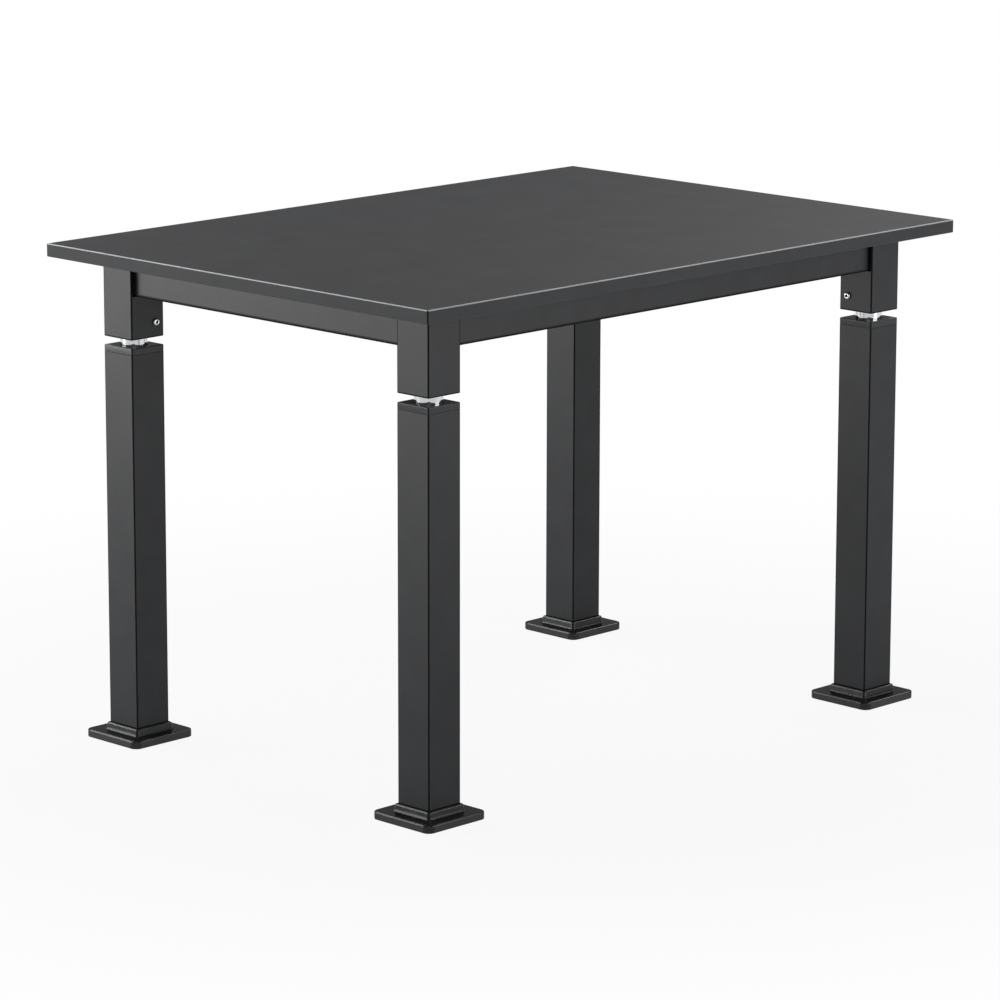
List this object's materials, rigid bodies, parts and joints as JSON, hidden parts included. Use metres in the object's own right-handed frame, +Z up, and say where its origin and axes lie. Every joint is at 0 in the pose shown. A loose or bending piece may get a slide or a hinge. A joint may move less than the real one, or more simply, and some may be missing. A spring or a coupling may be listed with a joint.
{
  "type": "height-adjustable laboratory table",
  "caption": "Rectangular laboratory table: dark slab top on a rail frame with notched posts, lobed aluminium columns and telescoping square legs on stepped feet that lift together.",
  "frame": {"origin": "on the floor, under the centre of the worktop", "axes": "+X along the long side to the right, +Y along the short side to the rear, +Z up"},
  "size_m": [1.0668, 0.762, 0.7144],
  "materials": {
    "charcoal_resin": "satin phenolic resin",
    "black_powder_coat": "fine satin powder coat",
    "drawn_aluminium": "bright drawn",
    "black_nylon": "moulded satin",
    "black_moulded_foot": "moulded satin",
    "zinc_steel": "bright zinc plate",
    "ground_steel": "ground"
  },
  "bodies": {
    "leg_front_left": {"lower_tube_front_left": "black_powder_coat", "tube_cap_front_left": "black_nylon", "foot_front_left": "black_moulded_foot", "lift_rod_front_left": "ground_steel"},
    "table_frame": {"worktop": "charcoal_resin", "rail_front": "black_powder_coat", "rail_rear": "black_powder_coat", "rail_left": "black_powder_coat", "rail_right": "black_powder_coat", "corner_plate_front_left": "black_powder_coat", "corner_plate_front_right": "black_powder_coat", "corner_plate_rear_right": "black_powder_coat", "corner_plate_rear_left": "black_powder_coat", "top_screw_front_left": "zinc_steel", "top_screw_front_right": "zinc_steel", "top_screw_rear_right": "zinc_steel", "top_screw_rear_left": "zinc_steel", "post_front_left": "black_powder_coat", "post_front_right": "black_powder_coat", "post_rear_right": "black_powder_coat", "post_rear_left": "black_powder_coat", "post_screw_a_front_left": "zinc_steel", "post_screw_a_front_right": "zinc_steel", "post_screw_a_rear_right": "zinc_steel", "post_screw_a_rear_left": "zinc_steel", "post_screw_b_front_left": "zinc_steel", "post_screw_b_front_right": "zinc_steel", "post_screw_b_rear_right": "zinc_steel", "post_screw_b_rear_left": "zinc_steel", "mounting_block_front_left": "drawn_aluminium", "mounting_block_front_right": "drawn_aluminium", "mounting_block_rear_right": "drawn_aluminium", "mounting_block_rear_left": "drawn_aluminium", "column_bolt_front_left": "zinc_steel", "column_bolt_front_right": "zinc_steel", "column_bolt_rear_right": "zinc_steel", "column_bolt_rear_left": "zinc_steel", "column_front_left": "drawn_aluminium", "column_front_right": "drawn_aluminium", "column_rear_right": "drawn_aluminium", "column_rear_left": "drawn_aluminium", "column_glide_front_left": "black_nylon", "column_glide_front_right": "black_nylon", "column_glide_rear_right": "black_nylon", "column_glide_rear_left": "black_nylon"},
    "leg_front_right": {"lower_tube_front_right": "black_powder_coat", "tube_cap_front_right": "black_nylon", "foot_front_right": "black_moulded_foot", "lift_rod_front_right": "ground_steel"},
    "leg_rear_right": {"lower_tube_rear_right": "black_powder_coat", "tube_cap_rear_right": "black_nylon", "foot_rear_right": "black_moulded_foot", "lift_rod_rear_right": "ground_steel"},
    "leg_rear_left": {"lower_tube_rear_left": "black_powder_coat", "tube_cap_rear_left": "black_nylon", "foot_rear_left": "black_moulded_foot", "lift_rod_rear_left": "ground_steel"}
  },
  "joints": [
    {"name": "table_lift", "type": "slide", "parent": "leg_front_left", "child": "table_frame", "axis": [0, 0, 1], "range_m": [0, 0.3048]},
    {"name": "leg_front_right_slide", "type": "slide", "parent": "table_frame", "child": "leg_front_right", "axis": [0, 0, -1], "range_m": [0, 0.3048]},
    {"name": "leg_rear_right_slide", "type": "slide", "parent": "table_frame", "child": "leg_rear_right", "axis": [0, 0, -1], "range_m": [0, 0.3048]},
    {"name": "leg_rear_left_slide", "type": "slide", "parent": "table_frame", "child": "leg_rear_left", "axis": [0, 0, -1], "range_m": [0, 0.3048]}
  ],
  "couplings": [
    {"joint": "leg_front_right_slide", "follows": "table_lift", "ratio": 1},
    {"joint": "leg_rear_right_slide", "follows": "table_lift", "ratio": 1},
    {"joint": "leg_rear_left_slide", "follows": "table_lift", "ratio": 1}
  ]
}
